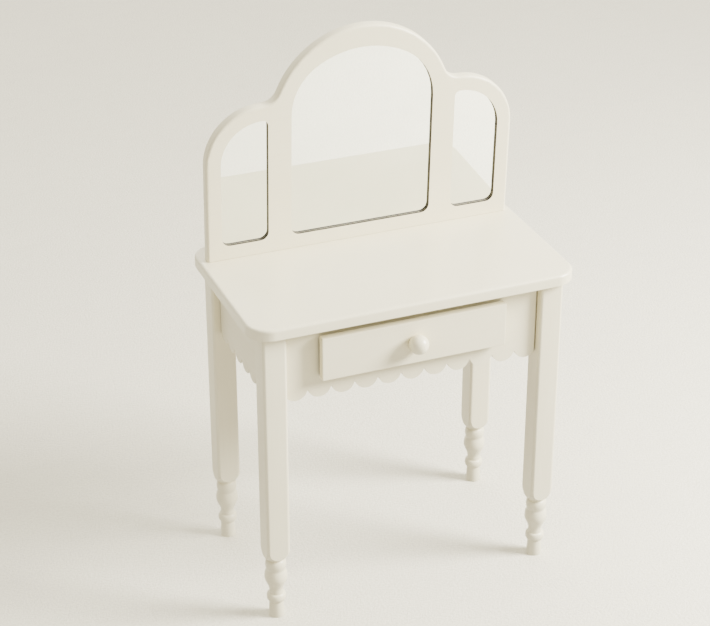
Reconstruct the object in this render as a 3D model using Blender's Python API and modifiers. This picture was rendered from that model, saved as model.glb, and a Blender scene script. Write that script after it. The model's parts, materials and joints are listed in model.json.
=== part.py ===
"""Miniature dressing table with a triple mirror.

Four legs with turned feet carry scalloped aprons and a top. One drawer slides in the front
apron. A board with three arched mirror panes stands on the back of the top and leans a little
forward.
Metres, +Z up, front towards -Y, floor at Z = 0, origin under the middle of the whole, which
reaches from the knob to the back edge of the top.
"""

import math

import bmesh
import bpy
from mathutils import Matrix, Vector

GAP = 0.0003  # air between touching pieces

# Table top
TOP_WIDTH = 0.356
TOP_DEPTH = 0.203
TOP_THICKNESS = 0.012
TOP_HEIGHT = 0.355
TOP_Y = 0.00605
TOP_CORNER = 0.025
TOP_ROUNDING = 0.003
TOP_UNDER_SHARE = 0.25  # rounding of the lower edge, as a share of the upper edge's
TOP_UNDERSIDE = TOP_HEIGHT - TOP_THICKNESS

# Legs: square above, turned foot below
LEG_SIZE = 0.0254
LEG_ARRIS = 0.0032
LEG_X = 0.1518
LEG_FRONT_Y = TOP_Y - 0.0791
LEG_BACK_Y = TOP_Y + 0.0813
LEG_STEPS = 18
ENVELOPE_RADIUS = 0.020
SHOULDER_TOP = 0.0905
SHOULDER_FOOT = 0.0740
SHOULDER_RADIUS = 0.0171
GROOVE_RADIUS = 0.0087
BEAD_TOP = 0.0716
BEAD_FOOT = 0.0592
BEAD_RADIUS = 0.0113
NICK_RADIUS = 0.0102
VASE_TOP = 0.0583
VASE_BELLY = 0.0500
VASE_RADIUS = 0.0123
NECK_HEIGHT = 0.0328
NECK_RADIUS = 0.0074
RING_TOP = 0.0290
RING_FOOT = 0.0193
RING_ROOT = 0.0079
RING_RADIUS = 0.0104
BASE_NECK_RADIUS = 0.0076
BASE_RADIUS = 0.0082
BASE_EASE = 0.0005

# Aprons
APRON_THICKNESS = 0.008
APRON_RECESS = 0.0087  # how far an apron lies behind the outer faces of the legs
APRON_EASE = 0.0010
APRON_END_GAP = 0.0005
CUSP_HEIGHT = 0.269
LOBE_DEPTH = 0.0094
CUSP_WIDTH = 0.0012  # flat left between two lobes
FRONT_PITCH = 0.0255
FRONT_LOBES = 11
FRONT_EDGE_FALL = 0.0125  # slope of the front's lower edge, down to the right
SIDE_LOBES = 6
LOBE_STEPS = 8

# Drawer
DRAWER_X = -0.0026
DRAWER_OPEN_AT_REST = 0.003
DRAWER_FRONT_WIDTH = 0.2018
DRAWER_FRONT_FLOOR = 0.2831
DRAWER_FRONT_HEIGHT = 0.048
DRAWER_FRONT_THICKNESS = 0.009
DRAWER_FRONT_EASE = 0.0014
DRAWER_OVERLAP = 0.0055  # how far the front covers the apron round the opening
DRAWER_PLAY = 0.0006
DRAWER_SIDE_THICKNESS = 0.006
DRAWER_SIDE_HEIGHT = 0.0355
OPENING_HALF_WIDTH = DRAWER_FRONT_WIDTH / 2 - DRAWER_OVERLAP
OPENING_FLOOR = DRAWER_FRONT_FLOOR + DRAWER_OVERLAP
OPENING_CEILING = DRAWER_FRONT_FLOOR + DRAWER_FRONT_HEIGHT - DRAWER_OVERLAP
DRAWER_HALF_WIDTH = OPENING_HALF_WIDTH - 4 * DRAWER_PLAY
DRAWER_SIDE_LIFT = DRAWER_OVERLAP + DRAWER_PLAY  # above the lower edge of the drawer's front
HOUSING_DEPTH = 0.004
BOTTOM_THICKNESS = 0.003
BOTTOM_LIFT = DRAWER_SIDE_LIFT + 0.004
BOTTOM_TONGUE = 0.003

# Runners
RUNNER_THICKNESS = 0.006
RUNNER_LEDGE = 0.012
RUNNER_GUIDE = 0.014

# Knob
KNOB_RADIUS = 0.0104
KNOB_CENTRE = 0.0078  # ahead of the drawer's face
KNOB_HEIGHT = 0.0255  # above the lower edge of the drawer's front
KNOB_FLAT_RADIUS = math.sqrt(KNOB_RADIUS**2 - KNOB_CENTRE**2)
KNOB_STEPS = 20

# Mirror board, heights above the table top
BOARD_FRONT_Y = TOP_Y + 0.0604
BOARD_THICKNESS = 0.012
BOARD_ROUNDING = 0.0027
BOARD_FOOT = 0.001  # planed off level with the table top
BOARD_LEAN = math.radians(2.7)  # towards the front, about the foot of its face
ARCH_CENTRE = 0.1413
ARCH_RADIUS = 0.0987
LOBE_CENTRE_X = 0.1094
LOBE_CENTRE = 0.1073
LOBE_RADIUS = 0.0605
VALLEY_RADIUS = 0.018
ARC_STEP = math.radians(5)

# Windows in the board
WINDOW_FLOOR = 0.0157
WINDOW_CORNER = 0.009
CENTRE_HALF_WIDTH = 0.078
CENTRE_TOP = 0.217
CENTRE_RADIUS = 0.0965
CENTRE_SHOULDER = 0.060
SIDE_WINDOW_INNER = 0.103
SIDE_WINDOW_RADIUS = 0.0446
SIDE_WINDOW_SHOULDER = 0.006

# Behind the windows
LIP_THICKNESS = 0.0027
POCKET_GROW = 0.005
PANE_THICKNESS = 0.003
REBATE_INSET = 0.008
PANEL_THICKNESS = 0.003

# Fixings
CORNER_STEP = LEG_SIZE - APRON_RECESS - APRON_THICKNESS  # from a leg's inner face to an apron's
BLOCK_REACH = 0.030
BLOCK_HEIGHT = 0.020
SCREW_SIDES = 8
SHANK_RADIUS = 0.00165
HEAD_RADIUS = 0.0034
HEAD_HEIGHT = 0.0018
LEG_SCREW_LENGTH = 0.026
TOP_SCREW_LENGTH = 0.029
TOP_SCREW_ALONG = -0.013
TOP_SCREW_INTO = 0.006
BOARD_SCREW_LENGTH = 0.0195
BOARD_SCREW_X = 0.091
PANEL_SCREW_LENGTH = 0.0065
PANEL_SCREW_X = 0.0906
PANEL_SCREW_HEIGHTS = (0.035, 0.092, 0.148)
PANEL_SHANK_RADIUS = 0.0011
PANEL_HEAD_RADIUS = 0.0023
PANEL_HEAD_HEIGHT = 0.0012
KNOB_SCREW_LENGTH = 0.018

SMOOTH_ANGLE = math.radians(32)
ROUND_PIECES = ("leg_", "drawer_knob", "screw")  # found in the names of the turned pieces

PAINT = ((0.80, 0.765, 0.67), 0.45, 0.0)
BARE_WOOD = ((0.62, 0.44, 0.27), 0.65, 0.0)
HARDBOARD = ((0.30, 0.19, 0.11), 0.70, 0.0)
MIRROR = ((0.90, 0.91, 0.91), 0.03, 1.0)
STEEL = ((0.56, 0.55, 0.53), 0.30, 1.0)

ON_EDGE = Matrix.Rotation(math.radians(90), 4, "X")  # outline in XZ, thickness along Y
ON_SIDE = Matrix.Rotation(math.radians(90), 4, "Z") @ ON_EDGE  # outline in YZ, thickness along X
TOWARDS_FRONT = Matrix.Rotation(math.radians(90), 4, "X")


def clear_scene():
    for thing in list(bpy.data.objects):
        bpy.data.objects.remove(thing)


def new_collection(name):
    collection = bpy.data.collections.new(name)
    bpy.context.scene.collection.children.link(collection)
    return collection


def finish(thing, look):
    """Gives an object its own material."""
    colour, roughness, metallic = look
    material = bpy.data.materials.new(thing.name + "_finish")
    material.use_nodes = True
    shader = material.node_tree.nodes["Principled BSDF"]
    shader.inputs["Base Color"].default_value = (*colour, 1)
    shader.inputs["Roughness"].default_value = roughness
    shader.inputs["Metallic"].default_value = metallic
    thing.data.materials.clear()
    thing.data.materials.append(material)
    return thing


def hide(thing):
    """Makes an object a cutter."""
    thing.hide_render = True
    thing.display_type = "WIRE"
    parts.objects.unlink(thing)
    cutters.objects.link(thing)
    return thing


def at(x, y, z):
    return Matrix.Translation((x, y, z))


def mesh_object(name, mesh, matrix):
    thing = bpy.data.objects.new(name, mesh)
    thing.matrix_world = matrix
    parts.objects.link(thing)
    return thing


def box(name, low, high):
    """A box between two corners, with its origin at its middle."""
    low = Vector(low)
    high = Vector(high)
    mesh = bpy.data.meshes.new(name)
    shape = bmesh.new()
    bmesh.ops.create_cube(shape, size=1, matrix=Matrix.Diagonal((*(high - low), 1)))
    shape.to_mesh(mesh)
    shape.free()
    return mesh_object(name, mesh, Matrix.Translation((low + high) / 2))


def plate(name, outline, thickness, matrix, holes=()):
    """A flat piece of this outline, its thickness centred on its own XY plane."""
    curve = bpy.data.curves.new(name, "CURVE")
    curve.dimensions = "2D"
    curve.fill_mode = "BOTH"
    curve.extrude = thickness / 2
    for loop in (outline, *holes):
        spline = curve.splines.new("POLY")
        spline.points.add(len(loop) - 1)
        for point, (u, v) in zip(spline.points, loop):
            point.co = (u, v, 0, 1)
        spline.use_cyclic_u = True
    drawn = mesh_object(name + "_outline", curve, matrix)
    bpy.context.view_layer.update()
    graph = bpy.context.evaluated_depsgraph_get()
    mesh = bpy.data.meshes.new_from_object(drawn.evaluated_get(graph))
    weld(mesh)
    bpy.data.objects.remove(drawn)
    mesh.name = name
    return mesh_object(name, mesh, matrix)


def weld(mesh):
    """Closes a filled outline and joins the triangles of each flat side."""
    shape = bmesh.new()
    shape.from_mesh(mesh)
    bmesh.ops.remove_doubles(shape, verts=shape.verts, dist=1e-6)
    bmesh.ops.dissolve_limit(
        shape, angle_limit=math.radians(0.5), verts=shape.verts, edges=shape.edges
    )
    bmesh.ops.recalc_face_normals(shape, faces=shape.faces)
    shape.to_mesh(mesh)
    shape.free()


def turned(name, profile, steps, matrix):
    """A solid turned about its own Z from (radius, height) pairs, listed from top to bottom."""
    mesh = bpy.data.meshes.new(name)
    shape = bmesh.new()
    points = [shape.verts.new((radius, 0, height)) for radius, height in profile]
    for first, second in zip(points, points[1:]):
        shape.edges.new((first, second))
    shape.to_mesh(mesh)
    shape.free()
    thing = mesh_object(name, mesh, matrix)
    screw = thing.modifiers.new("turn", "SCREW")
    screw.steps = steps
    screw.render_steps = steps
    screw.use_merge_vertices = True
    screw.merge_threshold = 1e-6
    return thing


def smooth(thing):
    """Applies a round piece's modifiers and shades it smooth except at its sharp edges."""
    graph = bpy.context.evaluated_depsgraph_get()
    mesh = bpy.data.meshes.new_from_object(thing.evaluated_get(graph))
    mesh.name = thing.name
    mesh.shade_smooth()
    mesh.set_sharp_from_angle(angle=SMOOTH_ANGLE)
    thing.modifiers.clear()
    thing.data = mesh


def cut(thing, cutter, operation="DIFFERENCE"):
    modifier = thing.modifiers.new(cutter.name, "BOOLEAN")
    modifier.operation = operation
    modifier.object = cutter


def ease_all(thing, width, segments):
    """Rounds every edge between two flat sides."""
    bevel = thing.modifiers.new("ease", "BEVEL")
    bevel.width = width
    bevel.segments = segments
    bevel.limit_method = "ANGLE"
    bevel.angle_limit = math.radians(60)


def ease_rims(thing, width, segments, share_of):
    """Rounds the edges around a plate's flat sides by the share that share_of gives for each."""
    mesh = thing.data
    shape = bmesh.new()
    shape.from_mesh(mesh)
    weight = shape.edges.layers.float.new("bevel_weight_edge")
    for edge in shape.edges:
        middle = (edge.verts[0].co + edge.verts[1].co) / 2
        in_rim = abs(edge.verts[0].co.z - edge.verts[1].co.z) < 1e-6
        edge[weight] = share_of(middle) if in_rim else 0
    shape.to_mesh(mesh)
    shape.free()
    bevel = thing.modifiers.new("ease", "BEVEL")
    bevel.width = width
    bevel.segments = segments
    bevel.limit_method = "WEIGHT"


def arc(centre, radius, start, end, step=ARC_STEP):
    """Points from the angle start to the angle end, both included."""
    count = max(2, math.ceil(abs(end - start) / step))
    angles = [start + (end - start) * i / count for i in range(count + 1)]
    return [
        (centre[0] + radius * math.cos(a), centre[1] + radius * math.sin(a)) for a in angles
    ]


def rounded_rectangle(half_width, half_depth, radius, step):
    corners = ((1, -1, -90), (1, 1, 0), (-1, 1, 90), (-1, -1, 180))
    outline = []
    for sx, sy, start in corners:
        centre = (sx * (half_width - radius), sy * (half_depth - radius))
        outline += arc(centre, radius, math.radians(start), math.radians(start + 90), step)
    return outline


def bead(top, foot, root, belly, steps):
    """Profile of a half-round swelling between two heights."""
    middle = (top + foot) / 2
    half = (top - foot) / 2
    angles = [math.pi * i / steps for i in range(steps + 1)]
    return [(root + (belly - root) * math.sin(a), middle + half * math.cos(a)) for a in angles]


def swell(top, foot, start, end, steps):
    """Profile of a smooth S between two radii, without its first point."""
    points = []
    for i in range(1, steps + 1):
        share = (1 - math.cos(math.pi * i / steps)) / 2
        points.append((start + (end - start) * share, top + (foot - top) * i / steps))
    return points


def leg_profile():
    height = SHOULDER_TOP - SHOULDER_FOOT
    angles = [math.radians(a) for a in (90, 60, 40, 24, 10, 0)]
    shoulder = [
        (
            GROOVE_RADIUS + (SHOULDER_RADIUS - GROOVE_RADIUS) * math.sin(a),
            SHOULDER_TOP - height * math.cos(a),
        )
        for a in angles
    ]
    top = TOP_UNDERSIDE + 0.01
    profile = [(0, top), (ENVELOPE_RADIUS, top), (ENVELOPE_RADIUS, SHOULDER_TOP)]
    profile += shoulder
    collar = bead(BEAD_TOP, BEAD_FOOT, GROOVE_RADIUS, BEAD_RADIUS, 6)
    middle = (BEAD_TOP + BEAD_FOOT) / 2
    profile += [(max(r, NICK_RADIUS) if z < middle else r, z) for r, z in collar]
    profile += [(NICK_RADIUS, VASE_TOP)]
    profile += [((NICK_RADIUS + 2 * VASE_RADIUS) / 3, (2 * VASE_TOP + VASE_BELLY) / 3)]
    profile += [(VASE_RADIUS, VASE_BELLY)]
    profile += swell(VASE_BELLY, NECK_HEIGHT, VASE_RADIUS, NECK_RADIUS, 6)
    profile += bead(RING_TOP, RING_FOOT, RING_ROOT, RING_RADIUS, 6)
    profile += [(BASE_NECK_RADIUS, RING_FOOT - 0.001), (BASE_RADIUS, 0.004)]
    profile += [(BASE_RADIUS, BASE_EASE), (BASE_RADIUS - BASE_EASE, 0), (0, 0)]
    return profile


def make_leg(name, x, y):
    """A square post cut to a turned foot."""
    outline = rounded_rectangle(LEG_SIZE / 2, LEG_SIZE / 2, LEG_ARRIS, math.radians(30))
    length = TOP_UNDERSIDE - GAP + 0.01
    leg = plate(name, outline, length, at(x, y, length / 2 - 0.01))
    cut(leg, leg_envelope(name, x, y), "INTERSECT")
    return finish(leg, PAINT)


def leg_envelope(name, x, y):
    return hide(turned(name + "_envelope", leg_profile(), LEG_STEPS, at(x, y, 0)))


def make_legs():
    return {
        "leg_front_left": make_leg("leg_front_left", -LEG_X, LEG_FRONT_Y),
        "leg_front_right": make_leg("leg_front_right", LEG_X, LEG_FRONT_Y),
        "leg_back_left": make_leg("leg_back_left", -LEG_X, LEG_BACK_Y),
        "leg_back_right": make_leg("leg_back_right", LEG_X, LEG_BACK_Y),
    }


def make_top():
    outline = rounded_rectangle(TOP_WIDTH / 2, TOP_DEPTH / 2, TOP_CORNER, math.radians(10))
    middle = TOP_HEIGHT - TOP_THICKNESS / 2
    top = plate("table_top", outline, TOP_THICKNESS, at(0, TOP_Y, middle))
    ease_rims(top, TOP_ROUNDING, 3, lambda p: 1 if p.z > 0 else TOP_UNDER_SHARE)
    return finish(top, PAINT)


def scallops(half_span, pitch, count):
    """The lower edge of an apron, from its left end to its right end."""
    half = (pitch - CUSP_WIDTH) / 2
    radius = (half * half + LOBE_DEPTH * LOBE_DEPTH) / (2 * LOBE_DEPTH)
    centre_height = CUSP_HEIGHT - LOBE_DEPTH + radius
    turn = math.asin(half / radius)
    down = math.radians(270)
    edge = []
    for i in range(count):
        centre = ((i - (count - 1) / 2) * pitch, centre_height)
        edge += arc(centre, radius, down - turn, down + turn, 2 * turn / LOBE_STEPS)
    return trimmed(edge, half_span)


def trimmed(edge, half_span):
    """Cuts a lower edge off square where it runs past the apron's ends."""
    kept = [p for p in edge if abs(p[0]) < half_span - 1e-5]
    left_out = max((p for p in edge if p[0] <= -half_span), default=kept[0])
    right_out = min((p for p in edge if p[0] >= half_span), default=kept[-1])
    left = crossing(left_out, kept[0], -half_span)
    right = crossing(right_out, kept[-1], half_span)
    return [left, *kept, right]


def crossing(outside, inside, u):
    """The point at u on the line from one point to another."""
    run = inside[0] - outside[0]
    share = (u - outside[0]) / run if abs(run) > 1e-9 else 0
    return (u, outside[1] + (inside[1] - outside[1]) * share)


def make_apron(name, half_span, lower_edge, matrix, holes=()):
    head = TOP_UNDERSIDE - GAP
    outline = [*lower_edge, (half_span, head), (-half_span, head)]
    apron = plate(name, outline, APRON_THICKNESS, matrix, holes)

    def share(point):
        by_hole = abs(point.x) < half_span - 1e-4 and point.y > CUSP_HEIGHT + 1e-4
        return 0 if by_hole else 1

    ease_rims(apron, APRON_EASE, 1, share)
    return finish(apron, PAINT)


def make_aprons():
    front_y = LEG_FRONT_Y - LEG_SIZE / 2 + APRON_RECESS + APRON_THICKNESS / 2
    back_y = LEG_BACK_Y + LEG_SIZE / 2 - APRON_RECESS - APRON_THICKNESS / 2
    side_x = LEG_X + LEG_SIZE / 2 - APRON_RECESS - APRON_THICKNESS / 2
    half_front = LEG_X - LEG_SIZE / 2 - APRON_END_GAP
    half_side = (LEG_BACK_Y - LEG_FRONT_Y - LEG_SIZE) / 2 - APRON_END_GAP
    side_y = (LEG_BACK_Y + LEG_FRONT_Y) / 2
    side_edge = scallops(half_side, 2 * (half_side + APRON_END_GAP) / SIDE_LOBES, SIDE_LOBES)
    plain_edge = [(-half_front, CUSP_HEIGHT), (half_front, CUSP_HEIGHT)]
    level_edge = scallops(half_front, FRONT_PITCH, FRONT_LOBES)
    front_edge = [(x, z - FRONT_EDGE_FALL * (x + half_front)) for x, z in level_edge]
    left = DRAWER_X - OPENING_HALF_WIDTH
    right = DRAWER_X + OPENING_HALF_WIDTH
    opening = [
        (left, OPENING_FLOOR),
        (left, OPENING_CEILING),
        (right, OPENING_CEILING),
        (right, OPENING_FLOOR),
    ]
    place = at(0, front_y, 0) @ ON_EDGE
    make_apron("front_apron", half_front, front_edge, place, [opening])
    make_apron("back_apron", half_front, plain_edge, at(0, back_y, 0) @ ON_EDGE)
    make_apron("left_apron", half_side, side_edge, at(-side_x, side_y, 0) @ ON_SIDE)
    make_apron("right_apron", half_side, side_edge, at(side_x, side_y, 0) @ ON_SIDE)


def screw_profile(length, shank, head, head_height, grow=0.0):
    """A pan-head screw with its point up and its seat at height 0."""
    tip = shank * 0.4 + grow
    return [
        (0, length + grow),
        (tip, length + grow),
        (shank + grow, length - 2 * shank),
        (shank + grow, grow),
        (head + grow, grow),
        (head + grow, -head_height * 0.5),
        (head * 0.6 + grow, -head_height - grow),
        (0, -head_height - grow),
    ]


def make_screw(name, matrix, length, shank=SHANK_RADIUS, head=HEAD_RADIUS, rise=HEAD_HEIGHT):
    screw = turned(name, screw_profile(length, shank, head, rise), SCREW_SIDES, matrix)
    return finish(screw, STEEL)


def screw_hole(name, matrix, length, shank=SHANK_RADIUS, head=HEAD_RADIUS, rise=HEAD_HEIGHT):
    profile = screw_profile(length, shank, head, rise, GAP)
    return hide(turned(name + "_hole", profile, SCREW_SIDES, matrix))


def corner_outline(side, forward):
    """A block behind a corner: the leg's inner corner is the origin, the aprons lie beyond."""
    deep = CORNER_STEP - GAP
    outline = [(-GAP, deep), (-GAP, -GAP), (deep, -GAP), (deep, -BLOCK_REACH), (-BLOCK_REACH, deep)]
    return [(side * u, forward * v) for u, v in outline]


def make_corner(name, side, forward, leg, top):
    """A corner block with one screw into the leg and one up into the top."""
    leg_y = LEG_FRONT_Y if forward < 0 else LEG_BACK_Y
    middle = TOP_UNDERSIDE - GAP - BLOCK_HEIGHT / 2
    corner = Vector((side * (LEG_X - LEG_SIZE / 2), leg_y - forward * LEG_SIZE / 2, middle))
    outline = corner_outline(side, forward)
    block = plate("corner_block_" + name, outline, BLOCK_HEIGHT, at(*corner))
    finish(block, BARE_WOOD)
    to_leg = Vector((side, forward, 0)).normalized()
    along = Vector((side, -forward, 0)).normalized()
    face = corner - to_leg * (BLOCK_REACH - CORNER_STEP + GAP) / math.sqrt(2)
    turn = to_leg.to_track_quat("Z", "Y").to_matrix().to_4x4()
    seat = Matrix.Translation(face - to_leg * GAP) @ turn
    fasten("leg_screw_" + name, seat, LEG_SCREW_LENGTH, (block, leg))
    place = face + along * TOP_SCREW_ALONG + to_leg * TOP_SCREW_INTO
    seat = at(place.x, place.y, middle - BLOCK_HEIGHT / 2 - GAP)
    fasten("top_screw_" + name, seat, TOP_SCREW_LENGTH, (block, top))


def fasten(name, seat, length, pieces):
    """A screw with its seat at a place, and its hole in each of the pieces."""
    make_screw(name, seat, length)
    hole = screw_hole(name, seat, length)
    for piece in pieces:
        cut(piece, hole)


def make_runner(name, side):
    """An angle strip between the front and back aprons that carries one drawer side."""
    front_y = LEG_FRONT_Y - LEG_SIZE / 2 + APRON_RECESS + APRON_THICKNESS + GAP
    back_y = LEG_BACK_Y + LEG_SIZE / 2 - APRON_RECESS - APRON_THICKNESS - GAP
    ledge = DRAWER_FRONT_FLOOR + DRAWER_SIDE_LIFT - GAP
    wall = DRAWER_HALF_WIDTH + DRAWER_PLAY
    outer = wall + RUNNER_THICKNESS
    outline = [
        (wall - RUNNER_LEDGE, ledge - RUNNER_THICKNESS),
        (outer, ledge - RUNNER_THICKNESS),
        (outer, ledge + RUNNER_GUIDE),
        (wall, ledge + RUNNER_GUIDE),
        (wall, ledge),
        (wall - RUNNER_LEDGE, ledge),
    ]
    outline = [(side * x, z) for x, z in outline]
    place = at(DRAWER_X, (front_y + back_y) / 2, 0) @ ON_EDGE
    return finish(plate(name, outline, back_y - front_y, place), BARE_WOOD)


def drawer_frame():
    """The empty that the drawer's pieces hang from, on the face of the drawer's front."""
    apron_y = LEG_FRONT_Y - LEG_SIZE / 2 + APRON_RECESS
    face_y = apron_y - DRAWER_OPEN_AT_REST - DRAWER_FRONT_THICKNESS
    frame = bpy.data.objects.new("drawer", None)
    frame.location = (DRAWER_X, face_y, DRAWER_FRONT_FLOOR)
    parts.objects.link(frame)
    bpy.context.view_layer.update()
    return frame


def hang(thing, frame):
    placed = thing.matrix_world.copy()
    thing.parent = frame
    thing.matrix_world = placed
    return thing


def drawer_box(name, frame, low, high, look):
    """A box in the drawer's own axes: y back from its face, z up from its lower edge."""
    piece = box(name, frame.location + Vector(low), frame.location + Vector(high))
    return hang(finish(piece, look), frame)


def drawer_cutter(name, frame, low, high):
    return hide(box(name, frame.location + Vector(low), frame.location + Vector(high)))


def make_drawer():
    """Front, two sides, back and a bottom held in grooves."""
    frame = drawer_frame()
    half = DRAWER_FRONT_WIDTH / 2
    back_of_front = DRAWER_FRONT_THICKNESS
    closed_end = LEG_BACK_Y + LEG_SIZE / 2 - APRON_RECESS - APRON_THICKNESS - DRAWER_PLAY
    end = closed_end - DRAWER_OPEN_AT_REST - frame.location.y
    top = DRAWER_SIDE_LIFT + DRAWER_SIDE_HEIGHT
    high = (half, back_of_front, DRAWER_FRONT_HEIGHT)
    front = drawer_box("drawer_front", frame, (-half, 0, 0), high, PAINT)
    ease_all(front, DRAWER_FRONT_EASE, 2)
    outer = DRAWER_HALF_WIDTH
    inner = outer - DRAWER_SIDE_THICKNESS
    housing = back_of_front - HOUSING_DEPTH
    sides = {}
    for name, side in (("left", -1), ("right", 1)):
        low = (min(side * outer, side * inner), housing + GAP, DRAWER_SIDE_LIFT)
        high = (max(side * outer, side * inner), end, top)
        sides[name] = drawer_box("drawer_" + name + "_side", frame, low, high, PAINT)
        low = (low[0] - GAP, housing, DRAWER_SIDE_LIFT - GAP)
        high = (high[0] + GAP, back_of_front + 0.01, top + GAP)
        cut(front, drawer_cutter("housing_" + name, frame, low, high))
    make_drawer_bottom(frame, inner, end, front, sides)
    low = (-inner + GAP, end - DRAWER_SIDE_THICKNESS, BOTTOM_LIFT + BOTTOM_THICKNESS + GAP)
    drawer_box("drawer_back", frame, low, (inner - GAP, end, top), BARE_WOOD)
    make_knob(frame, front)


def make_drawer_bottom(frame, inner, end, front, sides):
    """A thin panel in grooves of the front and the two sides, under the back."""
    reach = inner + BOTTOM_TONGUE - GAP
    first = DRAWER_FRONT_THICKNESS - BOTTOM_TONGUE
    low = (-reach, first + GAP, BOTTOM_LIFT)
    high = (reach, end, BOTTOM_LIFT + BOTTOM_THICKNESS)
    drawer_box("drawer_bottom", frame, low, high, HARDBOARD)
    low = (-reach - GAP, first, BOTTOM_LIFT - GAP)
    high = (reach + GAP, end + 0.01, BOTTOM_LIFT + BOTTOM_THICKNESS + GAP)
    groove = drawer_cutter("bottom_groove", frame, low, high)
    for piece in (front, *sides.values()):
        cut(piece, groove)


def make_knob(frame, front):
    """A ball with a flat, held by a screw from inside the drawer."""
    middle = frame.location + Vector((0, 0, KNOB_HEIGHT))
    matrix = Matrix.Translation(middle) @ TOWARDS_FRONT
    start = math.asin(KNOB_FLAT_RADIUS / KNOB_RADIUS)
    angles = [start + (math.pi - start) * i / 10 for i in range(10)]
    centre = KNOB_CENTRE + GAP
    ball = [(KNOB_RADIUS * math.sin(a), centre - KNOB_RADIUS * math.cos(a)) for a in angles]
    profile = [(0, GAP), *ball, (0, centre + KNOB_RADIUS)]
    knob = turned("drawer_knob", list(reversed(profile)), KNOB_STEPS, matrix)
    hang(finish(knob, PAINT), frame)
    seat = matrix @ at(0, 0, -DRAWER_FRONT_THICKNESS - GAP)
    screw = make_screw("knob_screw", seat, KNOB_SCREW_LENGTH)
    hang(screw, frame)
    hole = screw_hole("knob_screw", seat, KNOB_SCREW_LENGTH)
    cut(knob, hole)
    cut(front, hole)


def board_outline(grow, floor):
    """The arch, its two lower lobes and the valleys between them, from floor up."""
    valley = VALLEY_RADIUS - grow
    arch = ARCH_RADIUS + grow
    lobe = LOBE_RADIUS + grow
    across = Vector((LOBE_CENTRE_X, LOBE_CENTRE - ARCH_CENTRE))
    span = across.length
    to_arch = arch + valley
    to_lobe = lobe + valley
    along = (to_arch**2 - to_lobe**2 + span**2) / (2 * span)
    rise = math.sqrt(to_arch**2 - along**2)
    line = across.normalized()
    centre = line * along + Vector((-line.y, line.x)) * rise
    on_arch = math.atan2(centre.y, centre.x)
    on_lobe = math.atan2(centre.y - across.y, centre.x - across.x)
    half = math.radians(180)
    right = arc((LOBE_CENTRE_X, LOBE_CENTRE), lobe, 0, on_lobe)
    valley_centre = (centre.x, centre.y + ARCH_CENTRE)
    right += arc(valley_centre, valley, on_lobe - half, on_arch - half, ARC_STEP * 3)[1:-1]
    right += arc((0, ARCH_CENTRE), arch, on_arch, half / 2)
    left = [(-x, z) for x, z in reversed(right[:-1])]
    edge = LOBE_CENTRE_X + lobe
    return [(edge, floor), *right, *left, (-edge, floor)]


def centre_window(grow):
    """A wide arch with rounded shoulders."""
    side = CENTRE_HALF_WIDTH + grow
    top = CENTRE_RADIUS + grow
    shoulder = CENTRE_SHOULDER + grow
    corner = WINDOW_CORNER + grow
    middle = CENTRE_TOP - CENTRE_RADIUS
    offset = side - shoulder
    height = middle + math.sqrt((top - shoulder) ** 2 - offset**2)
    turn = math.atan2(height - middle, offset)
    floor = WINDOW_FLOOR - grow
    quarter = math.radians(90)
    right = arc((side - corner, floor + corner), corner, -quarter, 0, ARC_STEP * 4)
    right += arc((offset, height), shoulder, 0, turn, ARC_STEP * 2)
    right += arc((0, middle), top, turn, quarter)[1:]
    left = [(-x, z) for x, z in reversed(right[:-1])]
    return right + left


def side_window(grow, side):
    """A window with its outer top corner drawn round the lobe's centre."""
    inner = SIDE_WINDOW_INNER - grow
    top = SIDE_WINDOW_RADIUS + grow
    shoulder = SIDE_WINDOW_SHOULDER + grow
    corner = WINDOW_CORNER + grow
    floor = WINDOW_FLOOR - grow
    outer = LOBE_CENTRE_X + top
    quarter = math.radians(90)
    across = inner + shoulder - LOBE_CENTRE_X
    height = math.sqrt((top - shoulder) ** 2 - across**2)
    turn = math.atan2(height, across)
    outline = arc((outer - corner, floor + corner), corner, -quarter, 0, ARC_STEP * 4)
    outline += arc((LOBE_CENTRE_X, LOBE_CENTRE), top, 0, turn, ARC_STEP * 1.5)
    shoulder_centre = (inner + shoulder, LOBE_CENTRE + height)
    outline += arc(shoulder_centre, shoulder, turn, 2 * quarter, ARC_STEP * 4)[1:]
    outline += arc((inner + corner, floor + corner), corner, 2 * quarter, 3 * quarter, ARC_STEP * 4)
    return [(side * x, z) for x, z in outline]


def window(name, grow):
    if name == "center":
        return centre_window(grow)
    return side_window(grow, -1 if name == "left" else 1)


def leaning(x, depth, height):
    """A place in the leaning board: across it, back from its face, and up its face."""
    foot = at(0, BOARD_FRONT_Y, TOP_HEIGHT)
    return foot @ Matrix.Rotation(BOARD_LEAN, 4, "X") @ at(x, depth, height)


def standing(outline, name, front, back):
    """A plate between two depths behind the board's face."""
    return plate(name, outline, back - front, leaning(0, (front + back) / 2, 0) @ ON_EDGE)


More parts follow.
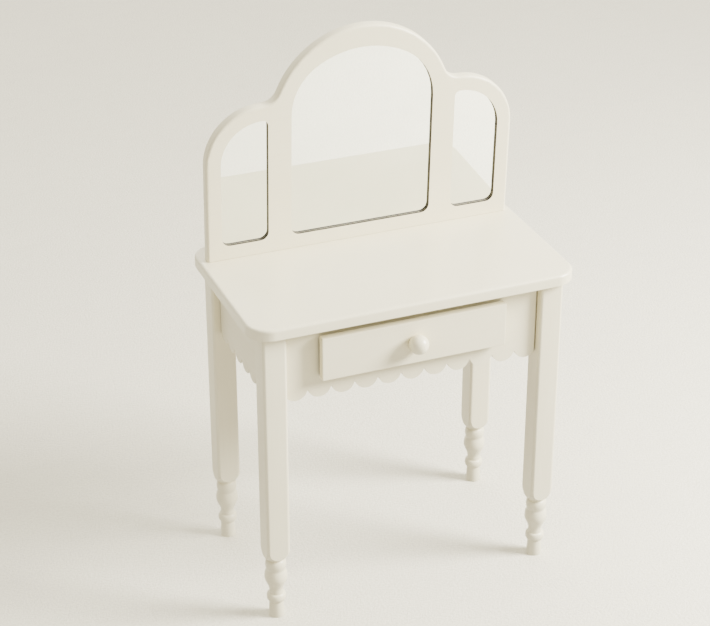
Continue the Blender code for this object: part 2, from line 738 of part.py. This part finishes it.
def make_mirror(top):
    """The board, its three panes, the panel behind them and their screws."""
    pane_front = LIP_THICKNESS + GAP
    rebate = pane_front + PANE_THICKNESS + GAP
    board = standing(board_outline(0, -BOARD_FOOT), "mirror_frame", 0, BOARD_THICKNESS)
    ease_rims(board, BOARD_ROUNDING, 3, lambda p: 1 if p.y > 0 else 0)
    finish(board, PAINT)
    low = (-TOP_WIDTH, BOARD_FRONT_Y - 0.02, TOP_HEIGHT - 0.02)
    foot_cut = box("board_foot_cut", low, (TOP_WIDTH, TOP_DEPTH, TOP_HEIGHT + GAP))
    cut(board, hide(foot_cut))
    for name in ("center", "left", "right"):
        opening = standing(window(name, 0), name + "_window", -0.01, LIP_THICKNESS + 0.001)
        pocket = standing(window(name, POCKET_GROW), name + "_pocket", LIP_THICKNESS, rebate + 0.001)
        pane = standing(window(name, POCKET_GROW - GAP), name + "_mirror", pane_front, rebate - GAP)
        finish(pane, MIRROR)
        cut(board, hide(pocket))
        cut(board, hide(opening))
    floor = REBATE_INSET + GAP
    hollow = standing(board_outline(-REBATE_INSET, floor), "rebate", rebate, BOARD_THICKNESS + 0.01)
    cut(board, hide(hollow))
    outline = board_outline(-REBATE_INSET - GAP, floor + GAP)
    panel_back = rebate + GAP + PANEL_THICKNESS
    panel = standing(outline, "mirror_back_panel", rebate + GAP, panel_back)
    finish(panel, HARDBOARD)
    fix_panel(board, panel, panel_back + GAP)
    fix_board(board, top)


def fix_panel(board, panel, seat_depth):
    """Small screws through the back panel into the board."""
    size = (PANEL_SCREW_LENGTH, PANEL_SHANK_RADIUS, PANEL_HEAD_RADIUS, PANEL_HEAD_HEIGHT)
    for side, x in (("left", -PANEL_SCREW_X), ("right", PANEL_SCREW_X)):
        for number, height in enumerate(PANEL_SCREW_HEIGHTS, 1):
            name = f"back_panel_screw_{side}_{number}"
            seat = leaning(x, seat_depth, height) @ TOWARDS_FRONT
            make_screw(name, seat, *size)
            hole = screw_hole(name, seat, *size)
            cut(panel, hole)
            cut(board, hole)


def fix_board(board, top):
    """Screws up through the table top into the lower edge of the board."""
    y = BOARD_FRONT_Y + BOARD_THICKNESS / 2
    seat_height = TOP_UNDERSIDE - GAP
    for name, x in (("left", -BOARD_SCREW_X), ("middle", 0), ("right", BOARD_SCREW_X)):
        fasten("mirror_board_screw_" + name, at(x, y, seat_height), BOARD_SCREW_LENGTH, (board, top))


clear_scene()
parts = new_collection("miniature_dressing_table")
cutters = new_collection("cutters")
table_top = make_top()
legs = make_legs()
make_aprons()
for end, end_y in (("front", -1), ("back", 1)):
    for hand, hand_x in (("left", -1), ("right", 1)):
        make_corner(f"{end}_{hand}", hand_x, end_y, legs[f"leg_{end}_{hand}"], table_top)
make_runner("left_runner", -1)
make_runner("right_runner", 1)
make_drawer()
make_mirror(table_top)
for piece in list(parts.objects):
    if any(word in piece.name for word in ROUND_PIECES):
        smooth(piece)
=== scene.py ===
"""The looks of the miniature dressing table: satin cream paint, mirrors, bare wood and steel."""

import json
import math

import bpy
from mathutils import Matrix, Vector


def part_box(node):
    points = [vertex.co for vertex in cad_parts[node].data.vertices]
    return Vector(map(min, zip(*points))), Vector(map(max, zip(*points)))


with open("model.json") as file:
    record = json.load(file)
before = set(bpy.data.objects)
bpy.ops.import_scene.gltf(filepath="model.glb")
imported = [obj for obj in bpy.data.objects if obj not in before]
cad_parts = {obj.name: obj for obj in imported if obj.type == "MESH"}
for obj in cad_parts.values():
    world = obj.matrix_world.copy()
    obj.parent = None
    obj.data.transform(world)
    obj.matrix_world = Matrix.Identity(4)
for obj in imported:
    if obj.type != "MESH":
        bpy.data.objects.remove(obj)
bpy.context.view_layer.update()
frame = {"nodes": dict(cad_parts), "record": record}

# Camera: metres, degrees and millimetres, with +X right and -Y front
CAMERA_FROM_TOP = Vector((-0.7167, -1.7088, 0.9406))  # from the middle of the table's upper face
CAMERA_HEADING = 21.88
CAMERA_TILT = 28.43
CAMERA_LENS = 101.7
SENSOR_WIDTH = 36.0

# Satin paint, linear colours
CREAM = (0.790, 0.730, 0.500)
CREAM_PALE = (0.815, 0.760, 0.535)
CREAM_DEEP = (0.735, 0.665, 0.430)
SATIN_GLOSS = 0.08
SATIN_ROUGHNESS = 0.28

# The near-black walls of the mirror windows, and painted shade in the joints
REVEAL = (0.018, 0.014, 0.010)
REVEAL_LIGHT = (0.060, 0.048, 0.036)
# Painted shade in the gaps at the aprons' ends and in the slot behind the drawer's front
CREVICE_SHADE = (0.21, 0.175, 0.125)
# Painted shade on the rim of the back of the drawer's front, in the slot against the apron
RIM_SHADE = (0.13, 0.10, 0.07)
FADE = 0.0008  # how far a line of painted shade takes to fade out
END_SHADE = 0.0015  # width of the line of painted shade at each end of an apron
DRAWER_RIM = 0.0062  # how much of the back of the drawer's front lies against the apron, which is the width of its rim of painted shade

# Bare materials
PINE_LIGHT = (0.58, 0.42, 0.25)
PINE_DARK = (0.38, 0.25, 0.13)
BOARD_LIGHT = (0.22, 0.135, 0.075)
BOARD_DARK = (0.12, 0.070, 0.038)
SILVER = (0.93, 0.955, 0.93)
SILVER_SMOKY = (0.89, 0.92, 0.89)
STEEL_LIGHT = (0.62, 0.61, 0.58)
STEEL_DARK = (0.36, 0.35, 0.33)

# The floor
PILE_LIGHT = (0.900, 0.865, 0.695)
PILE_DARK = (0.700, 0.665, 0.525)
PILE_WORN = (0.755, 0.715, 0.575)
PILE_BRUSHED = (0.68, 0.65, 0.54)
FLOOR_SIZE = 12.0

# The mirror board: its lean, and the arcs that its windows lie within, up its own face
BOARD_LEAN = math.radians(2.7)
BOARD_FACE_Y = 0.0604  # foot of its face, behind the middle of the table top
BOARD_ARCH_RADIUS = 0.0936
BOARD_ARCH_HEIGHT = 0.1413
BOARD_LOBE_RADIUS = 0.055
BOARD_LOBE_HEIGHT = 0.1073
BOARD_LOBE_X = 0.1094
LIP_DEPTH = 0.0029

# Light: one soft lamp to the front right, and a pale room that is only in the world
KEY_DIRECTION = Vector((1.46, -0.78, 0.94))
KEY_DISTANCE = 1.9
KEY_AIM_HEIGHT = 0.3
KEY_SIZE = 0.8
KEY_POWER = 182.0
KEY_COLOUR = (1.0, 0.98, 0.95)
SKY_LOW = (0.54, 0.51, 0.45)
SKY_HIGH = (2.6, 2.48, 2.2)
BACK_WALL = (4.4, 4.3, 4.0)
BACK_WALL_DIRECTION = Vector((0.15, 0.86, 0.49))
UNDER_GLOW = (1.58, 1.50, 1.32)

# Which way the grain and the brush strokes run on each piece
STROKES = {
    "table_top": "X",
    "front_apron": "X",
    "back_apron": "X",
    "left_apron": "Y",
    "right_apron": "Y",
    "drawer_front": "X",
    "drawer_left_side": "Y",
    "drawer_right_side": "Y",
    "drawer_back": "X",
    "drawer_knob": "X",
    "mirror_frame": "X",
    "left_runner": "Y",
    "right_runner": "Y",
}

# Pieces polished more by hands and cloths
GLOSSY = {"table_top": 0.5, "drawer_knob": 0.5}


class Nodes:
    """Builds one material's node tree."""

    def __init__(self, name, library=bpy.data.materials):
        self.material = library.new(name)
        self.material.use_nodes = True
        self.tree = self.material.node_tree
        self.tree.nodes.clear()

    def add(self, kind, **settings):
        node = self.tree.nodes.new("ShaderNode" + kind)
        for name, value in settings.items():
            setattr(node, name, value)
        return node

    def link(self, source, target):
        self.tree.links.new(source, target)

    def feed(self, socket, value):
        """Links a socket to another, or sets it to a number or colour."""
        if isinstance(value, bpy.types.NodeSocket):
            self.link(value, socket)
        elif isinstance(value, tuple) and len(socket.default_value) == 4 and len(value) == 3:
            socket.default_value = (*value, 1)
        else:
            socket.default_value = value

    def math(self, operation, first, second=0.0):
        node = self.add("Math", operation=operation)
        self.feed(node.inputs[0], first)
        self.feed(node.inputs[1], second)
        return node.outputs[0]

    def blend(self, share, first, second):
        """The first colour, with this share of the second."""
        node = self.add("Mix", data_type="RGBA")
        self.feed(node.inputs["Factor"], share)
        self.feed(node.inputs["A"], first)
        self.feed(node.inputs["B"], second)
        return node.outputs["Result"]

    def between(self, value, low, high, out_low=0.0, out_high=1.0):
        """Runs from out_low to out_high as a value goes from low to high."""
        node = self.add("MapRange", clamp=True)
        for socket, number in zip(node.inputs, (value, low, high, out_low, out_high)):
            self.feed(socket, number)
        return node.outputs[0]

    def place(self, scale=(1, 1, 1)):
        """Positions on the piece, in metres times a scale, for a texture."""
        coordinates = self.add("TexCoord")
        mapping = self.add("Mapping")
        mapping.inputs["Scale"].default_value = scale
        self.link(coordinates.outputs["Object"], mapping.inputs["Vector"])
        return mapping.outputs[0]

    def position(self):
        """The piece's own X, Y and Z, in metres."""
        parts = self.add("SeparateXYZ")
        self.link(self.add("TexCoord").outputs["Object"], parts.inputs[0])
        return parts

    def upright(self, foot, lean):
        """Positions measured from foot, turned back by a lean towards the front."""
        shifted = self.add("VectorMath", operation="SUBTRACT")
        self.link(self.add("TexCoord").outputs["Object"], shifted.inputs[0])
        shifted.inputs[1].default_value = foot
        turned = self.add("Mapping")
        turned.inputs["Rotation"].default_value = (-lean, 0, 0)
        self.link(shifted.outputs[0], turned.inputs["Vector"])
        return turned.outputs[0]

    def distance(self, value, centre):
        return self.math("ABSOLUTE", self.math("SUBTRACT", value, centre))

    def noise(self, place, scale, detail=4.0, roughness=0.55):
        node = self.add("TexNoise")
        self.link(place, node.inputs["Vector"])
        node.inputs["Scale"].default_value = scale
        node.inputs["Detail"].default_value = detail
        node.inputs["Roughness"].default_value = roughness
        return node.outputs["Fac"]

    def bump(self, height, distance, strength=1.0, under=None):
        node = self.add("Bump")
        node.inputs["Strength"].default_value = strength
        node.inputs["Distance"].default_value = distance
        self.link(height, node.inputs["Height"])
        if under:
            self.link(under, node.inputs["Normal"])
        return node.outputs[0]

    def surface(self, **values):
        """Ends the tree in a Principled shader, with a value or a link for each named socket."""
        shader = self.add("BsdfPrincipled")
        for name, value in values.items():
            self.feed(shader.inputs[name.replace("_", " ")], value)
        output = self.add("OutputMaterial")
        self.link(shader.outputs[0], output.inputs["Surface"])
        return self.material


def stretched(along, ratio):
    """A scale that draws a texture out along one axis."""
    return tuple(1 / ratio if axis == along else 1.0 for axis in "XYZ")


def paint_layers(nodes, along):
    """Colour, roughness and normal of brushed satin paint."""
    flat = nodes.place()
    drawn = nodes.place(stretched(along, 26.0))
    clouds = nodes.noise(flat, 9.0, 3.0)
    strokes = nodes.noise(drawn, 420.0, 5.0, 0.6)
    grain = nodes.noise(drawn, 1500.0, 3.0, 0.7)
    mottle = nodes.noise(flat, 160.0, 4.0, 0.6)
    colour = nodes.blend(nodes.between(clouds, 0.3, 0.7), CREAM, CREAM_PALE)
    colour = nodes.blend(nodes.between(strokes, 0.52, 0.80, 0.0, 0.28), colour, CREAM_DEEP)
    colour = nodes.blend(nodes.between(mottle, 0.58, 0.80, 0.0, 0.18), colour, CREAM_DEEP)
    roughness = nodes.between(strokes, 0.25, 0.75, 0.34, 0.46)
    normal = nodes.bump(strokes, 0.00012, 0.55)
    normal = nodes.bump(grain, 0.00005, 0.5, normal)
    normal = nodes.bump(mottle, 0.00010, 0.35, normal)
    return colour, roughness, normal


def satin(nodes, colour, roughness, normal, gloss=SATIN_GLOSS):
    """A painted surface with a thin clear coat."""
    return nodes.surface(
        Base_Color=colour,
        Roughness=roughness,
        Normal=normal,
        Coat_Weight=gloss,
        Coat_Roughness=SATIN_ROUGHNESS,
    )


def cream_paint(name, along, gloss):
    """Clean cream paint."""
    nodes = Nodes(name)
    colour, roughness, normal = paint_layers(nodes, along)
    return satin(nodes, colour, roughness, normal, gloss)


def apron_paint(node, along):
    """Cream paint, with painted shade in the joints at the apron's ends and behind the drawer's front.
    """
    nodes = Nodes(node + "_paint")
    colour, roughness, normal = paint_layers(nodes, along)
    place = nodes.position()
    painted_shade = towards_ends(nodes, place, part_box(node), "XYZ".index(along), END_SHADE)
    if node == "front_apron":
        painted_shade = nodes.math("MAXIMUM", painted_shade, shade_behind_drawer(nodes, place))
    # Painted shade: the joints at each end of the apron are darkened, and on the front apron the slot
    # behind the drawer's front is too
    colour = nodes.blend(painted_shade, colour, CREVICE_SHADE)
    return satin(nodes, colour, roughness, normal)


def towards_ends(nodes, place, box, axis, width):
    """1 within a width of a box's two ends along an axis, and 0 between them."""
    low, high = box
    middle = (low[axis] + high[axis]) / 2
    start = (high[axis] - low[axis]) / 2 - width
    return nodes.between(nodes.distance(place.outputs[axis], middle), start, start + FADE)


def shade_behind_drawer(nodes, place):
    """Painted shade where the drawer's front covers the apron, lighter near the top."""
    low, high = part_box("drawer_front")
    aside = nodes.distance(place.outputs["X"], (high.x + low.x) / 2)
    width = (high.x - low.x) / 2
    covered = nodes.between(place.outputs["Z"], low.z, low.z + 0.003)
    share = nodes.between(place.outputs["Z"], high.z - 0.010, high.z - 0.004, 0.75, 0.22)
    covered = nodes.math("MULTIPLY", covered, share)
    # Painted shade over the apron behind the drawer's front, fading out at its sides
    return nodes.math("MULTIPLY", covered, nodes.between(aside, width, width - 0.002))


def drawer_paint(node, along):
    """Cream paint, with a rim of painted shade on the back where the front meets the apron."""
    nodes = Nodes(node + "_paint")
    colour, roughness, normal = paint_layers(nodes, along)
    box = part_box(node)
    back = box[1].y
    place = nodes.position()
    behind = nodes.between(place.outputs["Y"], back - 0.0010, back - 0.0004)
    aside = towards_ends(nodes, place, box, 0, DRAWER_RIM)
    edge = towards_ends(nodes, place, box, 2, DRAWER_RIM)
    shade_rim = nodes.math("MULTIPLY", behind, nodes.math("MAXIMUM", aside, edge))
    # Painted shade: the rim of the back of the drawer's front is darkened where it faces the apron
    colour = nodes.blend(shade_rim, colour, RIM_SHADE)
    return satin(nodes, colour, roughness, normal)


def board_paint(name, along):
    """Cream paint, with the walls of the windows near-black."""
    nodes = Nodes(name)
    colour, roughness, normal = paint_layers(nodes, along)
    wall = window_wall(nodes)
    wall_blotches = nodes.noise(nodes.place(), 700.0, 3.0)
    dark = nodes.blend(wall_blotches, REVEAL, REVEAL_LIGHT)
    # The walls of the windows are coloured near-black, in blotches of two dark tones
    colour = nodes.blend(wall, colour, dark)
    roughness = nodes.math("MAXIMUM", roughness, nodes.math("MULTIPLY", wall, 0.85))
    return nodes.surface(Base_Color=colour, Roughness=roughness, Normal=normal)


def window_wall(nodes):
    """1 on the walls of the mirror windows and 0 elsewhere."""
    low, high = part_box("table_top")
    foot = Vector((0, (low.y + high.y) / 2 + BOARD_FACE_Y, high.z))
    place = nodes.add("SeparateXYZ")
    nodes.link(nodes.upright(foot, BOARD_LEAN), place.inputs[0])
    aside = nodes.math("ABSOLUTE", place.outputs["X"])
    lobe_side = nodes.math("SUBTRACT", aside, BOARD_LOBE_X)
    over_lobe = nodes.math("SUBTRACT", place.outputs["Z"], BOARD_LOBE_HEIGHT)
    over_arch = nodes.math("SUBTRACT", place.outputs["Z"], BOARD_ARCH_HEIGHT)
    in_arch = nodes.math("LESS_THAN", length_of(nodes, aside, over_arch), BOARD_ARCH_RADIUS)
    in_lobe = nodes.math("LESS_THAN", length_of(nodes, lobe_side, over_lobe), BOARD_LOBE_RADIUS)
    low_down = nodes.math("LESS_THAN", over_lobe, 0.0)
    narrow = nodes.math("LESS_THAN", aside, BOARD_LOBE_X + BOARD_LOBE_RADIUS)
    inside = nodes.math("MAXIMUM", in_arch, in_lobe)
    inside = nodes.math("MAXIMUM", inside, nodes.math("MULTIPLY", low_down, narrow))
    above = nodes.math("GREATER_THAN", place.outputs["Z"], 0.008)
    shallow = nodes.math("LESS_THAN", place.outputs["Y"], LIP_DEPTH)
    facing = nodes.add("SeparateXYZ")
    nodes.link(nodes.add("TexCoord").outputs["Normal"], facing.inputs[0])
    side_on = nodes.math("LESS_THAN", nodes.math("ABSOLUTE", facing.outputs["Y"]), 0.5)
    wall = nodes.math("MULTIPLY", inside, above)
    wall = nodes.math("MULTIPLY", wall, shallow)
    return nodes.math("MULTIPLY", wall, side_on)


def length_of(nodes, first, second):
    """How far a point lies from where both values are 0."""
    first = nodes.math("MULTIPLY", first, first)
    second = nodes.math("MULTIPLY", second, second)
    return nodes.math("SQRT", nodes.math("ADD", first, second))


def mirror_glass(name):
    """Silvered glass, a little hazy and never quite flat."""
    nodes = Nodes(name)
    haze = nodes.noise(nodes.place(), 24.0, 3.0)
    ripple = nodes.noise(nodes.place(), 5.0, 1.0)
    colour = nodes.blend(nodes.between(haze, 0.35, 0.75), SILVER, SILVER_SMOKY)
    roughness = nodes.between(haze, 0.3, 0.8, 0.012, 0.030)
    return nodes.surface(
        Base_Color=colour, Metallic=1.0, Roughness=roughness, Normal=nodes.bump(ripple, 0.00002, 0.15)
    )


def bare_pine(name, along):
    """Unpainted wood with growth rings and pores drawn out along the piece."""
    nodes = Nodes(name)
    drawn = nodes.place(stretched(along, 14.0))
    rings = nodes.noise(drawn, 90.0, 6.0, 0.62)
    pores = nodes.noise(drawn, 1300.0, 3.0, 0.7)
    colour = nodes.blend(nodes.between(rings, 0.32, 0.72), PINE_LIGHT, PINE_DARK)
    colour = nodes.blend(nodes.between(pores, 0.55, 0.85, 0.0, 0.45), colour, PINE_DARK)
    roughness = nodes.between(pores, 0.2, 0.8, 0.58, 0.74)
    return nodes.surface(
        Base_Color=colour, Roughness=roughness, Normal=nodes.bump(pores, 0.00015, 0.6)
    )


def hardboard(name):
    """Pressed brown fibres."""
    nodes = Nodes(name)
    fibres = nodes.noise(nodes.place(), 520.0, 6.0, 0.7)
    clouds = nodes.noise(nodes.place(), 16.0, 3.0)
    colour = nodes.blend(nodes.between(fibres, 0.35, 0.68), BOARD_LIGHT, BOARD_DARK)
    colour = nodes.blend(nodes.between(clouds, 0.4, 0.8, 0.0, 0.35), colour, BOARD_LIGHT)
    return nodes.surface(
        Base_Color=colour, Roughness=0.62, Normal=nodes.bump(fibres, 0.00018, 0.7)
    )


def screw_steel(name):
    """Plain steel with fine turned scratches."""
    nodes = Nodes(name)
    scratches = nodes.noise(nodes.place((1, 9, 1)), 900.0, 4.0, 0.65)
    colour = nodes.blend(scratches, STEEL_LIGHT, STEEL_DARK)
    roughness = nodes.between(scratches, 0.25, 0.75, 0.24, 0.42)
    return nodes.surface(
        Base_Color=colour, Metallic=1.0, Roughness=roughness, Normal=nodes.bump(scratches, 0.00004, 0.5)
    )


def carpet(name):
    """The plain pale floor."""
    nodes = Nodes(name)
    tufts = nodes.noise(nodes.place(), 330.0, 5.0, 0.7)
    clouds = nodes.noise(nodes.place(), 5.0, 3.0)
    drifts = nodes.noise(nodes.place((1, 2.2, 1)), 22.0, 5.0, 0.6)
    colour = nodes.blend(nodes.between(tufts, 0.3, 0.7), PILE_DARK, PILE_LIGHT)
    colour = nodes.blend(nodes.between(clouds, 0.35, 0.7, 0.0, 0.3), colour, PILE_WORN)
    colour = nodes.blend(nodes.between(drifts, 0.5, 0.75, 0.0, 0.25), colour, PILE_BRUSHED)
    return nodes.surface(
        Base_Color=colour, Roughness=0.92, Normal=nodes.bump(tufts, 0.0030, 0.5)
    )


def material_for(slot, node):
    """The material of one piece, by its slot in the record and by what it is."""
    along = STROKES.get(node, "Z")
    if node == "mirror_frame":
        return board_paint(node + "_paint", along)
    if node.endswith("_apron"):
        return apron_paint(node, along)
    if node == "drawer_front":
        return drawer_paint(node, along)
    gloss = GLOSSY.get(node, SATIN_GLOSS)
    makers = {
        "cream_paint": lambda: cream_paint(node + "_paint", along, gloss),
        "bare_wood": lambda: bare_pine(node + "_pine", along),
        "hardboard": lambda: hardboard(node + "_hardboard"),
        "mirror_glass": lambda: mirror_glass(node + "_glass"),
        "screw_steel": lambda: screw_steel(node + "_steel"),
    }
    return makers[slot]()


def soften(piece):
    """Smooth shading that leaves flat faces flat and true corners sharp."""
    piece.data.polygons.foreach_set("use_smooth", [True] * len(piece.data.polygons))
    weld = piece.modifiers.new("weld", "WELD")
    weld.merge_threshold = 1e-6
    split = piece.modifiers.new("corners", "EDGE_SPLIT")
    split.split_angle = math.radians(38)
    normals = piece.modifiers.new("normals", "WEIGHTED_NORMAL")
    normals.mode = "FACE_AREA"
    normals.weight = 90


def dress():
    """Gives every CAD piece its material."""
    slots = {row["node"]: row["material_slot"] for row in frame["record"]["subparts"]}
    for name, piece in frame["nodes"].items():
        piece.data.materials.clear()
        piece.data.materials.append(material_for(slots[name], name))
        soften(piece)


def make_floor():
    """A wide floor. The light that it would throw up on the table comes from the world instead."""
    bpy.ops.mesh.primitive_plane_add(size=FLOOR_SIZE, location=(0, 0, 0))
    floor = bpy.context.active_object
    floor.name = "floor"
    floor.data.materials.append(carpet("floor_carpet"))
    floor.visible_diffuse = False


def make_lights():
    """One round soft light, and the world."""
    light = bpy.data.lights.new("key", "AREA")
    light.shape = "DISK"
    light.size = KEY_SIZE
    light.energy = KEY_POWER
    light.color = KEY_COLOUR
    lamp = bpy.data.objects.new("key", light)
    lamp.location = Vector((0, 0, KEY_AIM_HEIGHT)) + KEY_DIRECTION.normalized() * KEY_DISTANCE
    lamp.rotation_mode = "QUATERNION"
    lamp.rotation_quaternion = KEY_DIRECTION.to_track_quat("Z", "Y")
    bpy.context.scene.collection.objects.link(lamp)
    bpy.context.scene.world = studio_world()


def studio_world():
    """A soft sky, brightest overhead, with a pale wall behind and the floor's glow below."""
    nodes = Nodes("studio", bpy.data.worlds)
    direction = nodes.add("TexCoord").outputs["Generated"]
    parts = nodes.add("SeparateXYZ")
    nodes.link(direction, parts.inputs[0])
    height = nodes.math("MAXIMUM", parts.outputs["Z"], 0.0)
    sky = nodes.blend(nodes.math("POWER", height, 2.0), SKY_LOW, SKY_HIGH)
    facing = nodes.add("VectorMath", operation="DOT_PRODUCT")
    nodes.link(direction, facing.inputs[0])
    facing.inputs[1].default_value = BACK_WALL_DIRECTION.normalized()
    wall = nodes.math("POWER", nodes.math("MAXIMUM", facing.outputs["Value"], 0.0), 6.0)
    sky = nodes.blend(wall, sky, BACK_WALL)
    below = nodes.math("LESS_THAN", parts.outputs["Z"], 0.0)
    colour = nodes.blend(below, sky, UNDER_GLOW)
    background = nodes.add("Background")
    nodes.link(colour, background.inputs["Color"])
    output = nodes.add("OutputWorld")
    nodes.link(background.outputs[0], output.inputs["Surface"])
    return nodes.material


def make_camera():
    low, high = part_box("table_top")
    middle = Vector(((low.x + high.x) / 2, (low.y + high.y) / 2, high.z))
    camera = bpy.data.cameras.new("camera")
    camera.sensor_width = SENSOR_WIDTH
    camera.lens = CAMERA_LENS
    holder = bpy.data.objects.new("camera", camera)
    holder.location = middle + CAMERA_FROM_TOP
    holder.rotation_euler = (math.radians(90 - CAMERA_TILT), 0, math.radians(-CAMERA_HEADING))
    bpy.context.scene.collection.objects.link(holder)
    bpy.context.scene.camera = holder


dress()
make_floor()
make_lights()
make_camera()
